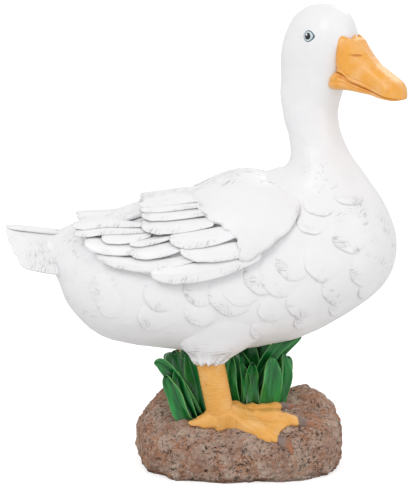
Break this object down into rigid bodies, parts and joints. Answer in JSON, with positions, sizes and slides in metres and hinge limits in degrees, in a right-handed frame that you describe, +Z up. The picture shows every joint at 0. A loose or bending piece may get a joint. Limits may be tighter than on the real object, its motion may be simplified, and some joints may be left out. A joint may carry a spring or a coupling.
{
  "type": "duck garden statue",
  "caption": "Standing white duck statue with folded wings, a turned head and an orange bill, on a flat-bottomed rock with strap-leaved grass round its legs.",
  "frame": {"origin": "centre of the rock base's flat underside", "axes": "+Z up, +X the way the duck's body faces, +Y towards its left side; the head turns towards -Y"},
  "size_m": [0.3545, 0.1661, 0.42],
  "materials": {
    "plumage": "white satin paint on cast resin",
    "bill": "orange gloss paint on cast resin",
    "leg": "yellow-orange satin paint on cast resin",
    "claw": "horn-brown matt paint on cast resin",
    "eye": "painted eye, gloss",
    "leaf": "deep green gloss paint on cast resin",
    "rock": "gritty brown wash over cast stone texture"
  },
  "bodies": {
    "root": {"duck_statue": "plumage"}
  },
  "joints": []
}
